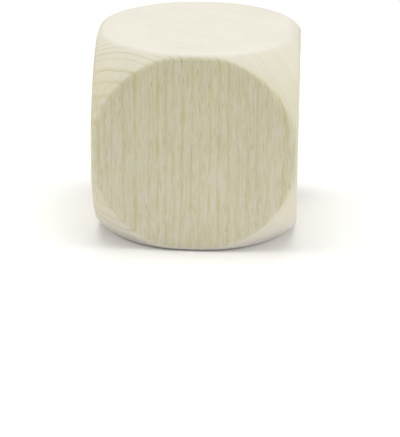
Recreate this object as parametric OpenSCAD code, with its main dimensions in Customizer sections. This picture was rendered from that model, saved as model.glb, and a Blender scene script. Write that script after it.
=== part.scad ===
// Blank wooden cube, cut from one piece of beech with the grain along Z.
// Its eight corners lie on one ball, so each face is left as a flat disc,
// and sanding has softened every rim. The origin is the middle of the base.

/* [Block] */
// Distance between opposite flat faces
edge = 50; // [42:0.5:66]

/* [Turned corners] */
// Diameter of the ball that the eight corners are turned to
ball_d = 70; // [64:0.5:84]

/* [Sanding] */
// Radius round the rim of each flat face, where it meets the ball
rim_r = 2.5; // [0.5:0.1:4]
// Radius along the middle of each edge, where two flat faces come closest
edge_r = 1.8; // [0.5:0.1:4]
// Small angle that is left where the rim's arc runs into the ball
rim_break = 6; // [4:1:10]

/* [Hidden] */
$fn = 128;
bare_beech = [0.90, 0.87, 0.76];

half = edge / 2;
ball_r = ball_d / 2;

// Slope of the ball where an unsanded flat face would meet it
ball_slope = acos(half / ball_r);
// Slope of the rim's arc where it runs into the ball
rim_slope = ball_slope - rim_break;
// Depth of that meeting circle below the flat face
meet_drop = rim_r * (1 - cos(rim_slope));
// Radius of the meeting circle
meet_r = sqrt(pow(ball_r, 2) - pow(half - meet_drop, 2));
// Radius at which the arc leaves the flat face
flat_r = meet_r - rim_r * sin(rim_slope);
// Height of a shoulder that starts just outside the ball, past the meeting circle
shoulder_z = half - rim_r * (1 - cos(ball_slope));
// Size of the trimming solids, well outside the block
reach = ball_d;

// Upper half of the profile of two opposite faces: flat, rim arc, shoulder
module face_profile() {
    square([flat_r, half]);
    translate([flat_r, half - rim_r])
        circle(r = rim_r);
    square([reach, shoulder_z]);
}

// Turned solid that ends in the two flat faces across Z, with softened rims.
// The ball cuts away everything past the rims.
module face_pair() {
    rotate_extrude() {
        face_profile();
        mirror([0, 1])
            face_profile();
    }
}

// Square bar along Z whose four long edges are rounded
module softened_bar() {
    linear_extrude(height = reach, center = true) {
        square([edge - 2 * edge_r, edge], center = true);
        square([edge, edge - 2 * edge_r], center = true);
        for (x = [-1, 1], y = [-1, 1])
            translate([x * (half - edge_r), y * (half - edge_r)])
                circle(r = edge_r);
    }
}

// Turns a solid made along Z to lie along X, along Y or along Z
module along(axis) {
    rotate([axis == "y" ? 90 : 0, axis == "x" ? 90 : 0, 0])
        children();
}

module wooden_cube() {
    color(bare_beech)
    translate([0, 0, half])
    intersection() {
        sphere(r = ball_r);
        along("z") face_pair();
        along("y") face_pair();
        along("x") face_pair();
        along("z") softened_bar();
        along("y") softened_bar();
        along("x") softened_bar();
    }
}

wooden_cube();
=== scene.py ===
# Turned and sanded beech cube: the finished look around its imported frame.
import math

import bpy
import numpy as np
from bpy.props import FloatProperty, FloatVectorProperty, IntProperty, PointerProperty
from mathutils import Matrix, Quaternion, Vector, noise


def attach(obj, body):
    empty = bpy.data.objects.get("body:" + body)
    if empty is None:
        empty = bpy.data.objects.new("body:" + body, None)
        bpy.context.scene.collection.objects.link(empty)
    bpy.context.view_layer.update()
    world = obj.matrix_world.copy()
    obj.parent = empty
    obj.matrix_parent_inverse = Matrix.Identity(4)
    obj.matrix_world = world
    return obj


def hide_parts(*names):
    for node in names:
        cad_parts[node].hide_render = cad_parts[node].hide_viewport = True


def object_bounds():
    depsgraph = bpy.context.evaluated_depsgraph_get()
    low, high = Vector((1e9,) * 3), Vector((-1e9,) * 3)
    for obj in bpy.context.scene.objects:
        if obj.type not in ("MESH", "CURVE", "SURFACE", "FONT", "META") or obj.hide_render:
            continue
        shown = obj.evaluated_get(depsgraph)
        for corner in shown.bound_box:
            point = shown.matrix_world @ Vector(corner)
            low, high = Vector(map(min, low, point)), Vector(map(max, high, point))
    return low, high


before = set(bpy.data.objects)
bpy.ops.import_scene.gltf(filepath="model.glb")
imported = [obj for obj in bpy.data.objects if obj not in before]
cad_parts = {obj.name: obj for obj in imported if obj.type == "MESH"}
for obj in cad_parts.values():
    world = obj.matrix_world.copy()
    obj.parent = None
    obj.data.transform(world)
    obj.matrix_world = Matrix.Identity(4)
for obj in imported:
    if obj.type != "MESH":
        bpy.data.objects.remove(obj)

bl_info = {
    "name": "Turned Beech Cube",
    "version": (1, 0, 0),
    "blender": (4, 5, 0),
    "location": "3D View > Sidebar > Beech Cube",
    "description": "A beech blank with corners turned to a ball, and a soft studio for it",
    "category": "Add Mesh",
}

CAD_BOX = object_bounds()
CAD_NODE = "wooden_cube"
BODY = "root"

CUBE_NAME = "beech_cube"
MM = 0.001
EDGE = CAD_BOX[1][2] - CAD_BOX[0][2]
MIDDLE = Vector((0, 0, EDGE / 2))

# The picture's frame, in pixels, and the sensor that focal lengths are counted on, in millimetres
PICTURE_WIDE = 400
PICTURE_HIGH = 437
SENSOR_WIDE = 36.0

# Where each soft box hangs and how long its sides are, in metres
SOFT_BOXES = {
    "overhead": ((0.0, 0.0, 1.0), 0.8),
    "left": ((-0.95, 0.0, 0.55), 0.6),
    "right": ((0.95, 0.0, 0.55), 0.6),
    "right_front": ((0.8, -0.8, 0.4), 0.6),
}

# Kinds of socket
NUMBER = "NodeSocketFloat"
VECTOR = "NodeSocketVector"
COLOUR = "NodeSocketColor"

# Soft noise mostly stays between these two values
NOISE_LOW = 0.3
NOISE_HIGH = 0.7


class CubeForm(bpy.types.PropertyGroup):
    """Sizes of the turned and sanded block"""

    edge: FloatProperty(
        name="Edge",
        description="Distance between opposite flat faces",
        default=EDGE, min=0.005, unit="LENGTH", subtype="DISTANCE",
    )
    ball: FloatProperty(
        name="Ball",
        description="Diameter of the ball that the corners are turned to",
        default=70 * MM, min=0.005, unit="LENGTH", subtype="DISTANCE",
    )
    edge_radius: FloatProperty(
        name="Edge radius",
        description="Radius along the middle of each edge, where two flat faces come closest",
        default=1.8 * MM, min=0.0001, unit="LENGTH", subtype="DISTANCE",
    )
    worn_edge: FloatProperty(
        name="Worn edge",
        description="How much larger the radius is on the edge between the top and the right face",
        default=1.4 * MM, min=0.0, unit="LENGTH", subtype="DISTANCE",
    )
    rim_softness: FloatProperty(
        name="Rim softness",
        description="Reach of the sanding where a flat face meets the ball. It cuts a quarter as deep",
        default=0.7 * MM, min=0.00001, unit="LENGTH", subtype="DISTANCE",
    )
    rim_wander: FloatProperty(
        name="Rim wander",
        description="Share by which the sanding of the rims varies round the block",
        default=0.22, min=0.0, max=0.9, subtype="FACTOR",
    )
    cells: IntProperty(
        name="Cells",
        description="Quads along one side of each face",
        default=120, min=8, max=128,
    )


class BeechFinish(bpy.types.PropertyGroup):
    """Colours and figure of bare, sanded beech"""

    pale: FloatVectorProperty(
        name="Pale wood",
        description="Colour of the wood between its darker lines",
        default=(0.705, 0.668, 0.522), size=3, min=0.0, max=1.0, subtype="COLOR",
    )
    late: FloatVectorProperty(
        name="Late wood",
        description="Colour of the dense line that ends each year's growth",
        default=(0.588, 0.549, 0.270), size=3, min=0.0, max=1.0, subtype="COLOR",
    )
    ray: FloatVectorProperty(
        name="Ray flecks",
        description="Colour of the cut ends of the rays",
        default=(0.560, 0.515, 0.290), size=3, min=0.0, max=1.0, subtype="COLOR",
    )
    late_end: FloatVectorProperty(
        name="Late wood across",
        description="Colour of the same line where it is cut across the grain",
        default=(0.600, 0.535, 0.420), size=3, min=0.0, max=1.0, subtype="COLOR",
    )
    # Partly painted highlight: the end grain's own paler tone, painted whiter and bluer still to stand
    # in for the bright light and sheen on the top face
    end_grain_and_highlight: FloatVectorProperty(
        name="End grain and highlight",
        description="Colour of the wood where it is cut across the grain",
        default=(0.752, 0.722, 0.652), size=3, min=0.0, max=1.0, subtype="COLOR",
    )
    # Painted light: the strength of a lighter, bluer lower end and a darker, yellower upper end,
    # painted into the wood's colour
    painted_light_gradient: FloatProperty(
        name="Yellowing",
        description="How much yellower the upper end of the block is than its lower end",
        default=1.0, min=0.0, max=1.0, subtype="FACTOR",
    )
    ring_width: FloatProperty(
        name="Ring width",
        description="Mean width of a growth ring",
        default=1.016 * MM, min=0.0001, unit="LENGTH", subtype="DISTANCE",
    )
    pith_distance: FloatProperty(
        name="Pith distance",
        description="Distance from the middle of the block to the middle of the tree",
        default=122 * MM, min=0.0, unit="LENGTH", subtype="DISTANCE",
    )
    quick_growth: FloatProperty(
        name="Quick growth",
        description="Distance from the middle of the tree at which a run of wider years begins",
        default=149 * MM, min=0.0, unit="LENGTH", subtype="DISTANCE",
    )
    pith_bearing: FloatProperty(
        name="Pith bearing",
        description="Direction of the middle of the tree, turned from the right face towards the back",
        default=math.radians(56), unit="ROTATION", subtype="ANGLE",
    )
    seed: FloatProperty(
        name="Seed",
        description="Chooses which rings are strong and where the flecks lie",
        default=51.71,
    )
    bundles: FloatProperty(
        name="Bundles",
        description="How strongly bundles of fibres show as soft streaks",
        default=0.51, min=0.0, max=1.0, subtype="FACTOR",
    )
    roughness: FloatProperty(
        name="Roughness",
        description="Mean roughness of the sanded surface",
        default=0.56, min=0.0, max=1.0, subtype="FACTOR",
    )
    relief: FloatProperty(
        name="Relief",
        description="Height of the raised grain that sanding leaves",
        default=0.022 * MM, min=0.0, unit="LENGTH", subtype="DISTANCE",
    )


class CubeStudio(bpy.types.PropertyGroup):
    """Camera, floor and soft lights"""

    bearing: FloatProperty(
        name="Bearing",
        description="Angle of the camera to the right of the front face",
        default=math.radians(2.613), unit="ROTATION", subtype="ANGLE",
    )
    height: FloatProperty(
        name="Height",
        description="Angle of the camera above the middle of the block",
        default=math.radians(17.985), unit="ROTATION", subtype="ANGLE",
    )
    roll: FloatProperty(
        name="Roll",
        description="Tilt of the picture",
        default=math.radians(0.481), unit="ROTATION", subtype="ANGLE",
    )
    distance: FloatProperty(
        name="Distance",
        description="Distance from the camera to the middle of the block",
        default=0.5629, min=0.01, unit="LENGTH", subtype="DISTANCE",
    )
    lens: FloatProperty(
        name="Lens",
        description="Focal length in millimetres on a 36 mm sensor",
        default=184.88, min=1.0,
    )
    aim: FloatVectorProperty(
        name="Aim",
        description="Pixel of the picture that shows the middle of the block, from the top left",
        default=(198.84, 122.85), size=2, subtype="XYZ",
    )
    floor_colour: FloatVectorProperty(
        name="Floor",
        description="Colour of the pale floor",
        default=(0.95, 0.94, 0.93), size=3, min=0.0, max=1.0, subtype="COLOR",
    )
    daylight: FloatProperty(
        name="Surroundings",
        description="Strength of the white surroundings",
        default=0.2, min=0.0,
    )
    overhead: FloatProperty(
        name="Overhead",
        description="Power of the soft box above the block",
        default=8.23, min=0.0, unit="POWER",
    )
    left: FloatProperty(
        name="Left",
        description="Power of the soft box on the left",
        default=4.33, min=0.0, unit="POWER",
    )
    right: FloatProperty(
        name="Right",
        description="Power of the soft box on the right",
        default=3.32, min=0.0, unit="POWER",
    )
    right_front: FloatProperty(
        name="Right front",
        description="Power of the soft box between the right side and the camera",
        default=2.06, min=0.0, unit="POWER",
    )


def out_of_block(points, form, edge_radius, softness):
    """How far each point lies outside the turned block: below zero inside, zero on its surface.

    The block is a cube with rounded edges, cut by a ball. Where the two meet, the sanded rim is
    a smooth blend that reaches as far as softness. Each point has its own radius and softness."""
    half = form.edge / 2
    beyond = np.abs(points) - (half - edge_radius)[:, None]
    cube = np.linalg.norm(np.maximum(beyond, 0), axis=1) - edge_radius
    cube += np.minimum(beyond.max(axis=1), 0)
    ball = np.linalg.norm(points, axis=1) - form.ball / 2
    closeness = np.maximum(softness - np.abs(cube - ball), 0) / softness
    deepest_cut = softness / 4
    return np.maximum(cube, ball) + deepest_cut * closeness**2


def grid_on_cube(cells):
    """Grid points all over a cube, as whole numbers from 0 to cells, and the quads between them.

    Returns the points, the four points of each quad, and each quad corner's place on a map
    that holds the six faces side by side."""
    side = cells + 1
    step = np.arange(cells)
    across, up = (a.ravel() for a in np.meshgrid(step, step, indexing="ij"))
    corners_across = np.stack([across, across + 1, across + 1, across], axis=1)
    corners_up = np.stack([up, up, up + 1, up + 1], axis=1)
    map_gap = 0.02
    keys, places = [], []
    for axis in range(3):
        for far in (0, 1):
            point = np.empty((cells * cells, 4, 3), dtype=np.int64)
            point[:, :, axis] = far * cells
            point[:, :, (axis + 1) % 3] = corners_across
            point[:, :, (axis + 2) % 3] = corners_up
            place = np.stack([corners_across, corners_up], axis=2) / cells
            place = (place * (1 - 2 * map_gap) + map_gap + (axis, far)) / (3, 2)
            # Half of the faces are turned over, so that all look outwards
            if not far:
                point, place = point[:, ::-1], place[:, ::-1]
            keys.append((point * (side * side, side, 1)).sum(axis=2))
            places.append(place)
    used, quads = np.unique(np.concatenate(keys), return_inverse=True)
    points = np.stack([used // (side * side), used // side % side, used % side], axis=1)
    return points, quads.reshape(-1, 4), np.concatenate(places).reshape(-1, 2)


def wear(direction, form):
    """Edge radius and rim softness that each direction from the middle of the block meets."""
    waves_round_block = 2.6
    noise_reach = 0.5
    wander = np.array([noise.noise(Vector(d) * waves_round_block) for d in direction])
    softness = form.rim_softness * (1 + form.rim_wander * wander / noise_reach)
    # 1 towards the middle of the edge between the top and the right face, 0 away from it
    towards_edge = (direction[:, 0] + direction[:, 2]) / math.sqrt(2)
    wear_starts = 0.86
    wear_builds_over = 0.11
    near_edge = np.clip((towards_edge - wear_starts) / wear_builds_over, 0, 1)
    near_edge = near_edge**2 * (3 - 2 * near_edge)
    edge_radius = form.edge_radius + form.worn_edge * near_edge
    return edge_radius, softness


def cube_surface(form):
    """Points on the turned block around its own middle, its quads and its map."""
    lattice, quads, places = grid_on_cube(form.cells)
    even = lattice / form.cells * 2 - 1
    # The grid is a little finer near the rims than in the middle of a face
    gather = 0.2
    direction = even * (1 + gather) - gather * even**3
    direction /= np.linalg.norm(direction, axis=1)[:, None]
    edge_radius, softness = wear(direction, form)
    # The surface lies between these two distances, and is closed in on by halving
    inside_faces = 0.4
    outside_ball = 0.55
    halvings = 32
    near = np.full(len(direction), form.edge * inside_faces)
    far = np.full(len(direction), form.ball * outside_ball)
    for _ in range(halvings):
        middle = (near + far) / 2
        outside = out_of_block(direction * middle[:, None], form, edge_radius, softness) > 0
        far = np.where(outside, middle, far)
        near = np.where(outside, near, middle)
    return direction * middle[:, None], quads, places


def turned_share(points, form):
    """0 on the flat faces, 1 where the block was turned, with the rim between."""
    flat_gap = form.edge / 2 - np.abs(points).max(axis=1)
    fully_turned = 0.5 * MM
    return np.clip(flat_gap / fully_turned, 0, 1)


def cube_mesh(form):
    """The turned block as one closed mesh of quads, standing on its base."""
    points, quads, places = cube_surface(form)
    turned = turned_share(points, form)
    points[:, 2] += form.edge / 2
    mesh = bpy.data.meshes.new(CUBE_NAME)
    mesh.from_pydata(points.tolist(), [], quads.tolist())
    layer = mesh.uv_layers.new(name="OFBake")
    layer.data.foreach_set("uv", places.ravel())
    mask = mesh.attributes.new("turned", "FLOAT", "POINT")
    mask.data.foreach_set("value", turned)
    mesh.shade_smooth()
    mesh.validate()
    return mesh


def put(tree, kind, at, inputs=None, **settings):
    """Adds a node at a column and row. Returns it.

    settings are its own options, and inputs holds a value or another node's output for each
    input that doesn't keep its default."""
    column_wide, row_high = 200, 190
    node = tree.nodes.new(kind)
    node.location = (at[0] * column_wide, -at[1] * row_high)
    for name, value in settings.items():
        setattr(node, name, value)
    for name, value in (inputs or {}).items():
        if isinstance(value, bpy.types.NodeSocket):
            tree.links.new(value, node.inputs[name])
        else:
            node.inputs[name].default_value = value
    return node


def sum_of(tree, at, operation, *values, label="", clamp=False):
    """One step of arithmetic on numbers. Returns its result."""
    inputs = dict(enumerate(values))
    node = put(tree, "ShaderNodeMath", at, inputs, operation=operation, use_clamp=clamp, label=label)
    return node.outputs[0]


def vector_sum(tree, at, operation, *values, label=""):
    """One step of arithmetic on vectors. Returns its result."""
    inputs = dict(enumerate(values))
    node = put(tree, "ShaderNodeVectorMath", at, inputs, operation=operation, label=label)
    return node.outputs["Value" if operation in ("LENGTH", "DOT_PRODUCT") else "Vector"]


def times(tree, at, vector, factor):
    """Multiplies a vector or a colour by one number. Returns the result."""
    inputs = {0: vector, "Scale": factor}
    return put(tree, "ShaderNodeVectorMath", at, inputs, operation="SCALE").outputs["Vector"]


def ramp(tree, at, value, low, high, to_low=0.0, to_high=1.0, label="", kind="SMOOTHSTEP"):
    """Maps a value from one range to another, smoothly unless kind is LINEAR. Returns the result."""
    inputs = {"Value": value, "From Min": low, "From Max": high,
              "To Min": to_low, "To Max": to_high}
    node = put(tree, "ShaderNodeMapRange", at, inputs, interpolation_type=kind, label=label)
    return node.outputs["Result"]


def blend(tree, at, factor, below, above, label=""):
    """Mixes two colours. Returns the result."""
    # A Mix node has sockets for every kind of value: these are the places of those for colours
    factor_at = 0
    below_at = 6
    above_at = 7
    result_at = 2
    inputs = {factor_at: factor, below_at: below, above_at: above}
    node = put(tree, "ShaderNodeMix", at, inputs, data_type="RGBA", label=label)
    return node.outputs[result_at]


def clouds(tree, at, where, size, detail=2.0, label=""):
    """Soft noise whose blotches measure size millimetres along X, Y and Z. Returns its outputs."""
    scaled = vector_sum(tree, at, "DIVIDE", where, size, label=label)
    inputs = {"Vector": scaled, "Scale": 1.0, "Detail": detail, "Roughness": 0.5}
    return put(tree, "ShaderNodeTexNoise", (at[0] + 1, at[1]), inputs).outputs


def new_group(name, takes, gives):
    """Starts a node group. takes holds name: (kind, default), and gives holds name: kind."""
    group = bpy.data.node_groups.new(name, "ShaderNodeTree")
    for label, (kind, default) in takes.items():
        socket = group.interface.new_socket(label, in_out="INPUT", socket_type=kind)
        socket.default_value = default
    for label, kind in gives.items():
        group.interface.new_socket(label, in_out="OUTPUT", socket_type=kind)
    entry = put(group, "NodeGroupInput", (-1, 0))
    return group, entry.outputs


def end_group(group, column, results):
    """Links the results to the outputs of a group."""
    put(group, "NodeGroupOutput", (column, 0), results)
    return group


def use_group(tree, group, at, inputs):
    """Places a group in a tree. Returns its outputs."""
    return put(tree, "ShaderNodeGroup", at, inputs, node_tree=group).outputs


def wavering(tree, row, where, size, strength, label):
    """A sideways push that changes slowly from place to place. Returns it."""
    noise_middle = (0.5, 0.5, 0.5)
    push = clouds(tree, (0, row), where, size, label=label)["Color"]
    push = vector_sum(tree, (2, row), "SUBTRACT", push, noise_middle)
    return times(tree, (3, row), push, strength)


def place_in_tree_group():
    """Where a point of the block lay in the living tree, in millimetres.

    Trunk holds the distance out from the pith, the way round along the rings and the height.
    The trunk isn't straight: it wanders slowly, and its fibres waver. Outward is the direction
    away from the pith."""
    tree, given = new_group(
        "Place in trunk",
        {"Position": (VECTOR, (0, 0, 0)), "Pith": (VECTOR, (0, 0, 0)),
         "Wander": (NUMBER, 0.7), "Waver": (NUMBER, 0.3)},
        {"Trunk": VECTOR, "Outward": VECTOR},
    )
    bend_size = (16, 16, 60)
    waver_size = (2.2, 2.2, 9)
    slow = wavering(tree, 1, given["Position"], bend_size, given["Wander"], "Slow bend of the trunk")
    quick = wavering(tree, 2, given["Position"], waver_size, given["Waver"], "Wavering of the fibres")
    bend = vector_sum(tree, (4, 1), "ADD", slow, quick)
    moved = vector_sum(tree, (5, 0), "ADD", given["Position"], bend)
    from_pith = vector_sum(tree, (6, 0), "SUBTRACT", moved, given["Pith"], label="From the pith")
    part = put(tree, "ShaderNodeSeparateXYZ", (7, 0), {0: from_pith}).outputs
    flat = put(tree, "ShaderNodeCombineXYZ", (8, 0), {"X": part["X"], "Y": part["Y"]})
    out = vector_sum(tree, (9, 0), "LENGTH", flat.outputs[0], label="Out from the pith")
    angle = sum_of(tree, (8, 1), "ARCTAN2", part["Y"], part["X"])
    reach = vector_sum(tree, (8, 2), "LENGTH", given["Pith"])
    around = sum_of(tree, (9, 1), "MULTIPLY", angle, reach, label="Around the pith")
    trunk = put(tree, "ShaderNodeCombineXYZ", (10, 0), {"X": out, "Y": around, "Z": part["Z"]})
    outward = vector_sum(tree, (10, 1), "NORMALIZE", flat.outputs[0])
    return end_group(tree, 11, {"Trunk": trunk.outputs[0], "Outward": outward})


def growth_ring_group():
    """Growth rings: a dense line that builds up through each year and ends sharply outwards."""
    tree, given = new_group(
        "Growth rings",
        {"Trunk": (VECTOR, (0, 0, 0)), "Ring Width": (NUMBER, 1.0), "Seed": (NUMBER, 0.0),
         "Quick Growth": (NUMBER, 1000.0), "Broken": (NUMBER, 1.0)},
        {"Late Wood": NUMBER, "Year Tone": NUMBER},
    )
    # Good and lean years take turns out from the pith, and one run of years is wider
    turns_per_mm = 0.35
    good_and_lean = 0.7
    quick_run = 4.6
    fewer_years = 0.42
    # How dense a year's line gets, and when it does, where 0 and 1 are the year's ends
    weakest_year = 0.36
    dense_from, densest = 0.49, 0.92
    ends_from = 0.94
    # Each line is broken into strokes
    stroke_size = (0.5, 5.0, 5.5)
    gap_below, whole_above = 0.37, 0.60
    faintest_stroke = 0.12

    part = put(tree, "ShaderNodeSeparateXYZ", (0, 0), {0: given["Trunk"]}).outputs
    seasons = sum_of(tree, (0, 1), "MULTIPLY_ADD", part["X"], turns_per_mm, given["Seed"])
    good_years = put(tree, "ShaderNodeTexNoise", (1, 1), {"W": seasons, "Scale": 1.0, "Detail": 1.0},
                     noise_dimensions="1D").outputs[0]
    beyond = sum_of(tree, (0, 2), "SUBTRACT", part["X"], given["Quick Growth"])
    beyond = ramp(tree, (1, 2), beyond, 0.0, quick_run, 0.0, quick_run, "Quick years", "LINEAR")
    slowed = sum_of(tree, (2, 2), "MULTIPLY_ADD", beyond, -fewer_years, part["X"], label="Wider years")
    shifted = sum_of(tree, (2, 1), "MULTIPLY_ADD", good_years, good_and_lean, slowed,
                     label="Good and lean years")
    years = sum_of(tree, (3, 0), "DIVIDE", shifted, given["Ring Width"], label="Years")
    year = sum_of(tree, (4, 1), "FLOOR", years)
    season = sum_of(tree, (4, 0), "FRACT", years, label="Season")
    year = sum_of(tree, (5, 1), "ADD", year, given["Seed"])
    chance = put(tree, "ShaderNodeTexWhiteNoise", (6, 1), {"W": year}, noise_dimensions="1D")
    strength = ramp(tree, (7, 1), chance.outputs["Value"], 0.0, 1.0, weakest_year, 1.0,
                    "Strength of the year", "LINEAR")
    chance_part = put(tree, "ShaderNodeSeparateColor", (7, 2), {0: chance.outputs["Color"]}).outputs
    rising = ramp(tree, (5, 0), season, dense_from, densest, label="Builds up")
    ending = ramp(tree, (6, 0), season, ends_from, 1.0, 1.0, 0.0, label="Ends sharply")
    line = sum_of(tree, (7, 0), "MULTIPLY", rising, ending)
    line = sum_of(tree, (8, 0), "MULTIPLY", line, strength)
    strokes = clouds(tree, (5, 3), given["Trunk"], stroke_size, label="Broken strokes")[0]
    strokes = ramp(tree, (7, 3), strokes, gap_below, whole_above, faintest_stroke, 1.0,
                   "Broken strokes")
    missing = sum_of(tree, (8, 3), "SUBTRACT", 1.0, strokes)
    missing = sum_of(tree, (9, 3), "MULTIPLY", missing, given["Broken"])
    drawn = sum_of(tree, (10, 3), "SUBTRACT", 1.0, missing)
    line = sum_of(tree, (11, 0), "MULTIPLY", line, drawn, label="Late wood")
    return end_group(tree, 12, {"Late Wood": line, "Year Tone": chance_part["Green"]})


def ray_fleck_group():
    """Rays: thin ribbons that run out from the pith, cut across as short dark spindles."""
    tree, given = new_group(
        "Ray flecks",
        {"Trunk": (VECTOR, (0, 0, 0)), "Deep": (NUMBER, 5.0), "Wide": (NUMBER, 0.42),
         "Tall": (NUMBER, 4.0), "Share": (NUMBER, 0.85), "Seed": (NUMBER, 0.0)},
        {"Fleck": NUMBER},
    )
    scatter = 0.9
    weakest, strongest = 0.2, 0.9
    # A spindle is whole out to its core and gone past its border, as shares of its cell
    core, border = 0.16, 0.36

    cell = put(tree, "ShaderNodeCombineXYZ", (0, 1),
               {"X": given["Deep"], "Y": given["Wide"], "Z": given["Tall"]})
    scaled = vector_sum(tree, (1, 0), "DIVIDE", given["Trunk"], cell.outputs[0])
    moved = vector_sum(tree, (2, 0), "ADD", scaled, given["Seed"])
    ribbons = put(tree, "ShaderNodeTexVoronoi", (3, 0),
                  {"Vector": moved, "Scale": 1.0, "Randomness": scatter})
    chance = put(tree, "ShaderNodeSeparateColor", (4, 1), {0: ribbons.outputs["Color"]}).outputs
    present = sum_of(tree, (5, 1), "LESS_THAN", chance["Red"], given["Share"])
    strength = ramp(tree, (5, 2), chance["Green"], 0.0, 1.0, weakest, strongest, "Strength", "LINEAR")
    body = ramp(tree, (4, 0), ribbons.outputs["Distance"], core, border, 1.0, 0.0, label="Spindle")
    fleck = sum_of(tree, (6, 0), "MULTIPLY", body, present)
    fleck = sum_of(tree, (7, 0), "MULTIPLY", fleck, strength)
    return end_group(tree, 8, {"Fleck": fleck})


def fibre_group():
    """Fibres, bundles of them and fine pores: all run up the trunk."""
    tree, given = new_group(
        "Fibres",
        {"Trunk": (VECTOR, (0, 0, 0)), "Fibre Size": (VECTOR, (0.2, 0.2, 4.0)),
         "Bundle Size": (VECTOR, (0.40, 0.40, 5.0)), "Pore Size": (VECTOR, (0.16, 0.16, 1.6))},
        {"Fibre": NUMBER, "Bundle": NUMBER, "Pore": NUMBER},
    )
    pore_from, pore_full = 0.60, 0.72
    threads = clouds(tree, (0, 0), given["Trunk"], given["Fibre Size"], 2.0, "Fibres")[0]
    fibre = ramp(tree, (2, 0), threads, NOISE_LOW, NOISE_HIGH, kind="LINEAR")
    bundles = clouds(tree, (0, 1), given["Trunk"], given["Bundle Size"], 1.0, "Bundles")[0]
    bundle = ramp(tree, (2, 1), bundles, NOISE_LOW, NOISE_HIGH, kind="LINEAR")
    dots = clouds(tree, (0, 2), given["Trunk"], given["Pore Size"], 1.0, "Pores")[0]
    pore = ramp(tree, (2, 2), dots, pore_from, pore_full)
    return end_group(tree, 3, {"Fibre": fibre, "Bundle": bundle, "Pore": pore})


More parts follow.
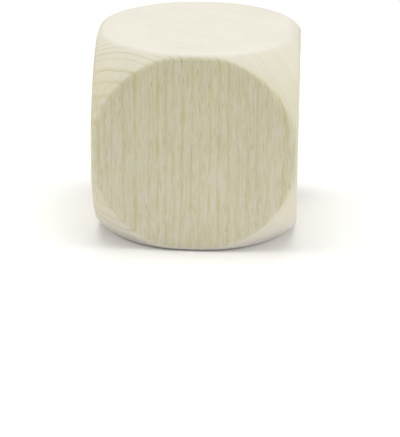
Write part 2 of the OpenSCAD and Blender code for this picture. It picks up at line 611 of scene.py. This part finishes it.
def beech_figure_group():
    """Bare beech: its colour, roughness and raised grain at a point of the block."""
    tree, given = new_group(
        "Beech figure",
        {"Position": (VECTOR, (0, 0, 0)), "Facing": (VECTOR, (0, 0, 1)), "Pith": (VECTOR, (0, 0, 0)),
         "Ring Width": (NUMBER, 1.0), "Seed": (NUMBER, 0.0),
         "Pale Wood": (COLOUR, (0.8, 0.75, 0.6, 1)), "Late Wood": (COLOUR, (0.6, 0.55, 0.3, 1)),
         "Ray": (COLOUR, (0.6, 0.5, 0.3, 1)), "Late Wood Across": (COLOUR, (0.6, 0.55, 0.4, 1)),
         "Yellowing": (NUMBER, 0.0), "Bundles": (NUMBER, 0.3), "Quick Growth": (NUMBER, 1000.0),
         "End Grain": (COLOUR, (0.8, 0.77, 0.67, 1)), "Turned": (NUMBER, 0.0),
         "Roughness": (NUMBER, 0.55)},
        {"Color": COLOUR, "Roughness": NUMBER, "Height": NUMBER},
    )
    # How the surface is cut. upright is 0 on the sides of the block and 1 on its two ends
    side_until, slant_from = 0.2, 0.65
    end_from, end_fully = 0.55, 0.98
    white_from, white_fully = 0.35, 0.95
    lines_on_ends = 0.1
    figure_on_ends = 0.2
    streaks_on_ends = 0.4
    # barkward is 0 where the rings are cut square and 1 where the surface lies along them
    square_until = 0.2
    square_further_on_ends = 0.35
    from_square_to_flat = 0.45
    figure_cut_square = 0.16

    in_mm = times(tree, (0, 0), given["Position"], 1 / MM)
    place = use_group(tree, place_in_tree_group(), (1, 0), {"Position": in_mm, "Pith": given["Pith"]})
    trunk = place["Trunk"]
    upright = put(tree, "ShaderNodeSeparateXYZ", (1, 5), {0: given["Facing"]}).outputs["Z"]
    upright = sum_of(tree, (2, 5), "ABSOLUTE", upright)
    along = ramp(tree, (3, 8), upright, side_until, slant_from, 1.0, lines_on_ends,
                 "Cut along the grain")
    rings = use_group(tree, growth_ring_group(), (2, 0),
                      {"Trunk": trunk, "Ring Width": given["Ring Width"], "Seed": given["Seed"],
                       "Quick Growth": given["Quick Growth"], "Broken": along})
    flecks = ray_fleck_group()
    large = use_group(tree, flecks, (2, 1), {"Trunk": trunk, "Seed": given["Seed"]})["Fleck"]
    small = use_group(tree, flecks, (2, 2), {
        "Trunk": trunk, "Seed": given["Seed"], "Deep": 3.0, "Wide": 0.30, "Tall": 2.0, "Share": 0.8,
    })["Fleck"]
    fibres = use_group(tree, fibre_group(), (2, 3), {"Trunk": trunk})
    blotch_size = (9, 9, 22)
    blotches = clouds(tree, (1, 4), in_mm, blotch_size, label="Uneven colour")[0]

    across = ramp(tree, (3, 5), upright, end_from, end_fully, label="Cut across the grain")
    calm = ramp(tree, (4, 5), across, 0.0, 1.0, 1.0, figure_on_ends, "Figure that shows", "LINEAR")
    barkward = vector_sum(tree, (1, 6), "DOT_PRODUCT", given["Facing"], place["Outward"])
    barkward = sum_of(tree, (2, 6), "ABSOLUTE", barkward)
    least = sum_of(tree, (3, 7), "MULTIPLY_ADD", upright, square_further_on_ends, square_until)
    most = sum_of(tree, (4, 7), "ADD", least, from_square_to_flat)
    flat_cut = ramp(tree, (5, 7), barkward, least, most, figure_cut_square, 1.0,
                    "Cut along the rings")
    calm = sum_of(tree, (6, 7), "MULTIPLY", calm, flat_cut)

    late = sum_of(tree, (4, 0), "MULTIPLY", rings["Late Wood"], calm)
    strength_of_small = 0.5
    ray = sum_of(tree, (3, 1), "MULTIPLY_ADD", small, strength_of_small, large)
    ray = sum_of(tree, (4, 1), "MULTIPLY", ray, flat_cut, clamp=True)
    ray = sum_of(tree, (5, 1), "MULTIPLY", ray, along)
    # Partly painted highlight: both ends are painted whiter and bluer than the wood's own end grain,
    # standing in for the bright light and sheen on the top face
    whiter_with_highlight = ramp(tree, (3, 4), upright, white_from, white_fully, label="Whiter across the grain with painted highlight")
    base = blend(tree, (4, 3), whiter_with_highlight, given["Pale Wood"], given["End Grain"], "Side or end grain with painted highlight")
    bundle = sum_of(tree, (4, 2), "MULTIPLY", fibres["Bundle"], given["Bundles"])
    bundle = sum_of(tree, (5, 2), "MULTIPLY", bundle, calm)
    streaky = ramp(tree, (5, 8), upright, side_until, slant_from, 1.0, streaks_on_ends,
                   "Bundles cut lengthwise")
    bundle = sum_of(tree, (6, 2), "MULTIPLY", bundle, streaky)
    line = blend(tree, (4, 8), along, given["Late Wood Across"], given["Late Wood"],
                 "Colour of the lines")
    wood = blend(tree, (5, 0), late, base, line, "Late wood")
    wood = blend(tree, (6, 0), bundle, wood, given["Late Wood"], "Bundles of fibres")
    wood = blend(tree, (7, 0), ray, wood, given["Ray"], "Rays")

    # Small differences of brightness, as shares of the mean
    year_swing, fibre_swing, blotch_swing = 0.015, 0.02, 0.02
    rim_darker = 0.02
    year = ramp(tree, (5, 3), rings["Year Tone"], 0.0, 1.0, 1 - year_swing, 1 + year_swing,
                "Year to year", "LINEAR")
    thread = ramp(tree, (5, 4), fibres["Fibre"], 0.0, 1.0, 1 - fibre_swing, 1 + fibre_swing,
                  "Fibre to fibre", "LINEAR")
    blotch = ramp(tree, (5, 5), blotches, NOISE_LOW, NOISE_HIGH, 1 - blotch_swing, 1 + blotch_swing,
                  "Place to place", "LINEAR")
    tone = sum_of(tree, (6, 3), "MULTIPLY", year, thread)
    tone = sum_of(tree, (7, 3), "MULTIPLY", tone, blotch)
    mid_rim = 0.5
    onto_rim = ramp(tree, (5, 10), given["Turned"], 0.0, mid_rim, label="Onto the rim")
    off_rim = ramp(tree, (5, 11), given["Turned"], mid_rim, 1.0, 1.0, 0.0, "Off the rim")
    rim = sum_of(tree, (6, 10), "MULTIPLY", onto_rim, off_rim, label="Handled rim")
    worn = sum_of(tree, (7, 10), "MULTIPLY_ADD", rim, -rim_darker, 1.0, label="A little darker")
    tone = sum_of(tree, (8, 3), "MULTIPLY", tone, worn)

    # Painted light: the lower end is painted lighter and bluer, as fill light from below would show
    # it, and the upper end darker and yellower
    lower_tint = (1.045, 1.045, 1.12, 1)
    upper_tint = (0.965, 0.965, 0.93, 1)
    no_tint = (1, 1, 1, 1)
    up = put(tree, "ShaderNodeSeparateXYZ", (5, 9), {0: in_mm}).outputs["Z"]
    painted_light_height = ramp(tree, (6, 9), up, 0.0, EDGE / MM, 0.0, 1.0, "Up the block", "LINEAR")
    tint = blend(tree, (7, 9), painted_light_height, lower_tint, upper_tint, "Yellower upwards")
    tint = blend(tree, (8, 9), given["Yellowing"], no_tint, tint)
    wood = vector_sum(tree, (8, 1), "MULTIPLY", wood, tint)
    colour = times(tree, (9, 0), wood, tone)

    fibre_rougher, turned_rougher = 0.08, 0.04
    ray_smoother, rim_smoother = 0.10, 0.08
    rough = sum_of(tree, (6, 5), "MULTIPLY_ADD", fibres["Fibre"], fibre_rougher, given["Roughness"])
    rough = sum_of(tree, (7, 5), "MULTIPLY_ADD", ray, -ray_smoother, rough)
    rough = sum_of(tree, (8, 5), "MULTIPLY_ADD", given["Turned"], turned_rougher, rough)
    rough = sum_of(tree, (9, 5), "MULTIPLY_ADD", rim, -rim_smoother, rough, label="Rubbed smoother")

    pore_sunk, ray_sunk, late_raised = 0.5, 0.4, 0.4
    height = sum_of(tree, (6, 6), "MULTIPLY_ADD", fibres["Pore"], -pore_sunk, fibres["Fibre"])
    height = sum_of(tree, (7, 6), "MULTIPLY_ADD", late, late_raised, height)
    height = sum_of(tree, (8, 6), "MULTIPLY_ADD", ray, -ray_sunk, height, label="Raised grain")
    return end_group(tree, 10, {"Color": colour, "Roughness": rough, "Height": height})


def solid(colour):
    """A colour property with full alpha, as node sockets take it."""
    return (*colour, 1.0)


def beech_material(finish):
    """Bare, finely sanded beech with its grain along Z."""
    material = bpy.data.materials.new("bare_beech")
    material.use_nodes = True
    tree = material.node_tree
    tree.nodes.clear()
    pith = Vector((math.cos(finish.pith_bearing), math.sin(finish.pith_bearing), 0))
    pith *= finish.pith_distance / MM
    place = put(tree, "ShaderNodeTexCoord", (0, 0)).outputs
    turned = put(tree, "ShaderNodeAttribute", (0, 2), attribute_name="turned").outputs["Fac"]
    figure = use_group(tree, beech_figure_group(), (1, 0), {
        "Position": place["Object"], "Facing": place["Normal"], "Pith": pith,
        "Ring Width": finish.ring_width / MM, "Seed": finish.seed,
        "Pale Wood": solid(finish.pale), "Late Wood": solid(finish.late), "Ray": solid(finish.ray),
        "End Grain": solid(finish.end_grain_and_highlight), "Turned": turned, "Roughness": finish.roughness,
        "Late Wood Across": solid(finish.late_end), "Yellowing": finish.painted_light_gradient,
        "Bundles": finish.bundles, "Quick Growth": finish.quick_growth / MM,
    })
    relief = put(tree, "ShaderNodeBump", (2, 1), {
        "Height": figure["Height"], "Strength": 1.0, "Distance": finish.relief,
    })
    dull_gloss = 0.35
    shader = put(tree, "ShaderNodeBsdfPrincipled", (3, 0), {
        "Base Color": figure["Color"], "Roughness": figure["Roughness"],
        "Normal": relief.outputs[0], "Specular IOR Level": dull_gloss,
    })
    put(tree, "ShaderNodeOutputMaterial", (5, 0), {"Surface": shader.outputs[0]})
    return material


def plain_material(name, colour, roughness):
    """One smooth colour, for the floor."""
    material = bpy.data.materials.new(name)
    material.use_nodes = True
    shader = material.node_tree.nodes["Principled BSDF"]
    shader.inputs["Base Color"].default_value = solid(colour)
    shader.inputs["Roughness"].default_value = roughness
    return material


class OBJECT_OT_beech_cube_add(bpy.types.Operator):
    """Add the turned beech cube in place of its plain solid"""

    bl_idname = "object.beech_cube_add"
    bl_label = "Add Beech Cube"
    bl_options = {"REGISTER", "UNDO"}

    def execute(self, context):
        scene = context.scene
        cube = bpy.data.objects.new(CUBE_NAME, cube_mesh(scene.beech_cube_form))
        scene.collection.objects.link(cube)
        cube.data.materials.append(beech_material(scene.beech_cube_finish))
        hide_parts(CAD_NODE)
        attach(cube, BODY)
        return {"FINISHED"}


def lay_floor(scene, studio):
    """A wide pale floor just under the block."""
    reach = 3.0
    clearance = 0.02 * MM
    roughness = 0.7
    corners = [(-reach, -reach), (reach, -reach), (reach, reach), (-reach, reach)]
    mesh = bpy.data.meshes.new("pale_floor")
    mesh.from_pydata([(x, y, -clearance) for x, y in corners], [], [(0, 1, 2, 3)])
    mesh.materials.append(plain_material("pale_floor", studio.floor_colour, roughness))
    floor = bpy.data.objects.new("pale_floor", mesh)
    scene.collection.objects.link(floor)


def hang_softbox(scene, name, place, side, power):
    """A square, white soft light that looks at the middle of the block."""
    light = bpy.data.lights.new(name, "AREA")
    light.shape = "RECTANGLE"
    light.size = side
    light.size_y = side
    light.energy = power
    lamp = bpy.data.objects.new(name, light)
    lamp.location = place
    towards = MIDDLE - lamp.location
    lamp.rotation_mode = "QUATERNION"
    lamp.rotation_quaternion = towards.to_track_quat("-Z", "Y")
    scene.collection.objects.link(lamp)


def light_studio(scene, studio):
    """Faint white surroundings, and soft boxes above, at both sides and right of the camera."""
    world = bpy.data.worlds.new("white_surroundings")
    world.use_nodes = True
    sky = world.node_tree.nodes["Background"]
    sky.inputs["Color"].default_value = (1, 1, 1, 1)
    sky.inputs["Strength"].default_value = studio.daylight
    scene.world = world
    for name, (place, side) in SOFT_BOXES.items():
        hang_softbox(scene, name, place, side, getattr(studio, name))


def stand_camera(scene, studio):
    """The camera where the photograph was taken from, with the block at its place in the frame."""
    lens_data = bpy.data.cameras.new("camera")
    lens_data.sensor_width = SENSOR_WIDE
    lens_data.lens = studio.lens
    nearest = 0.01
    lens_data.clip_start = nearest
    camera = bpy.data.objects.new("camera", lens_data)
    scene.collection.objects.link(camera)
    level = math.cos(studio.height)
    away = Vector((math.sin(studio.bearing) * level, -math.cos(studio.bearing) * level,
                   math.sin(studio.height)))
    camera.location = MIDDLE + away * studio.distance
    # The focal length in pixels, and the line of sight to the pixel that shows the middle
    pixels = studio.lens / SENSOR_WIDE * max(PICTURE_WIDE, PICTURE_HIGH)
    ray = Vector(((studio.aim[0] - PICTURE_WIDE / 2) / pixels,
                  -(studio.aim[1] - PICTURE_HIGH / 2) / pixels, -1))
    straight = (-away).to_track_quat("-Z", "Y")
    roll = Quaternion((0, 0, 1), studio.roll)
    off_centre = Vector((0, 0, -1)).rotation_difference(ray)
    camera.rotation_mode = "QUATERNION"
    camera.rotation_quaternion = straight @ roll @ off_centre.inverted()
    scene.camera = camera


class SCENE_OT_beech_cube_studio(bpy.types.Operator):
    """Set up the pale floor, the soft lights and the camera"""

    bl_idname = "scene.beech_cube_studio"
    bl_label = "Set Up Studio"
    bl_options = {"REGISTER", "UNDO"}

    def execute(self, context):
        scene = context.scene
        studio = scene.beech_cube_studio
        lay_floor(scene, studio)
        light_studio(scene, studio)
        stand_camera(scene, studio)
        scene.view_settings.view_transform = "Standard"
        return {"FINISHED"}


class VIEW3D_PT_beech_cube(bpy.types.Panel):
    """Sizes, wood and studio of the beech cube"""

    bl_idname = "VIEW3D_PT_beech_cube"
    bl_label = "Beech Cube"
    bl_space_type = "VIEW_3D"
    bl_region_type = "UI"
    bl_category = "Beech Cube"

    def draw(self, context):
        scene = context.scene
        for title, group, operator in (
            ("Block", scene.beech_cube_form, None),
            ("Wood", scene.beech_cube_finish, OBJECT_OT_beech_cube_add.bl_idname),
            ("Studio", scene.beech_cube_studio, SCENE_OT_beech_cube_studio.bl_idname),
        ):
            box = self.layout.box()
            box.label(text=title)
            for name in group.__annotations__:
                box.prop(group, name)
            if operator:
                box.operator(operator)


CLASSES = (
    CubeForm,
    BeechFinish,
    CubeStudio,
    OBJECT_OT_beech_cube_add,
    SCENE_OT_beech_cube_studio,
    VIEW3D_PT_beech_cube,
)


def register():
    for cls in CLASSES:
        bpy.utils.register_class(cls)
    bpy.types.Scene.beech_cube_form = PointerProperty(type=CubeForm)
    bpy.types.Scene.beech_cube_finish = PointerProperty(type=BeechFinish)
    bpy.types.Scene.beech_cube_studio = PointerProperty(type=CubeStudio)


def unregister():
    del bpy.types.Scene.beech_cube_studio
    del bpy.types.Scene.beech_cube_finish
    del bpy.types.Scene.beech_cube_form
    for cls in reversed(CLASSES):
        bpy.utils.unregister_class(cls)


def main():
    register()
    bpy.ops.object.beech_cube_add()
    bpy.ops.scene.beech_cube_studio()


if __name__ == "__main__":
    main()
